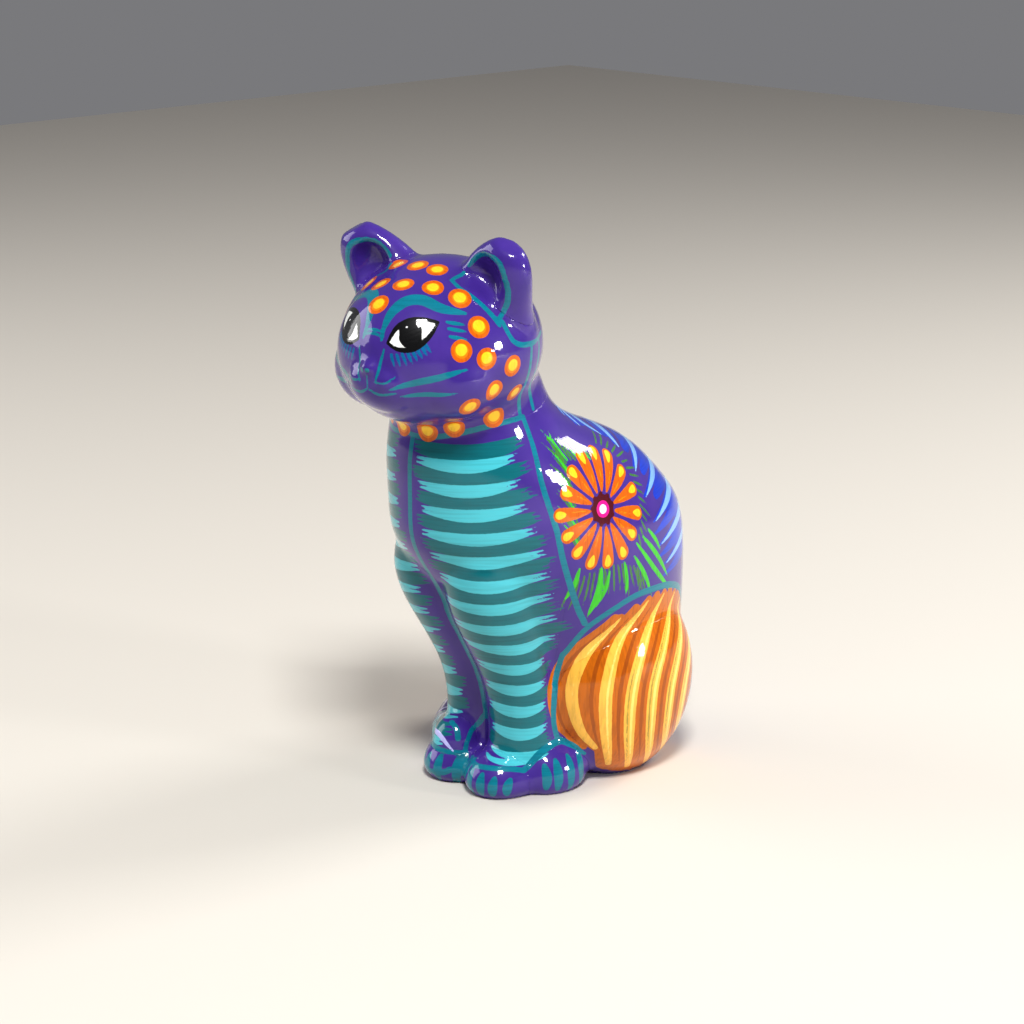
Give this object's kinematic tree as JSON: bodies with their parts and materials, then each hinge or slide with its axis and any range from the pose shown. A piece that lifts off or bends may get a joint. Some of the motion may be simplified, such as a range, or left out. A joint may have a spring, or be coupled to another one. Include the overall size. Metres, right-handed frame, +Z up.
{
  "type": "alebrije cat figure",
  "caption": "Seated hollow clay cat with its tail wrapped round one side, hand painted under a thick gloss varnish.",
  "frame": {"origin": "on the resting face, under the vented slab, in front of its vent hole", "axes": "+Z up, the cat faces -Y and its left side is +X"},
  "size_m": [0.089, 0.1335, 0.1828],
  "materials": {
    "painted_clay": "fired clay painted by hand and thickly varnished, high gloss",
    "bare_clay": "bare fired clay, matt"
  },
  "bodies": {
    "root": {"body_front_shell": "painted_clay", "body_back_shell": "painted_clay", "head_face_shell": "painted_clay", "head_back_shell": "painted_clay", "ear_left": "painted_clay", "ear_right": "painted_clay", "haunch_left": "painted_clay", "haunch_right": "painted_clay", "front_paw_left": "painted_clay", "front_paw_right": "painted_clay", "hind_paw_left": "painted_clay", "hind_paw_right": "painted_clay", "tail": "painted_clay", "base_slab": "bare_clay"}
  },
  "joints": []
}
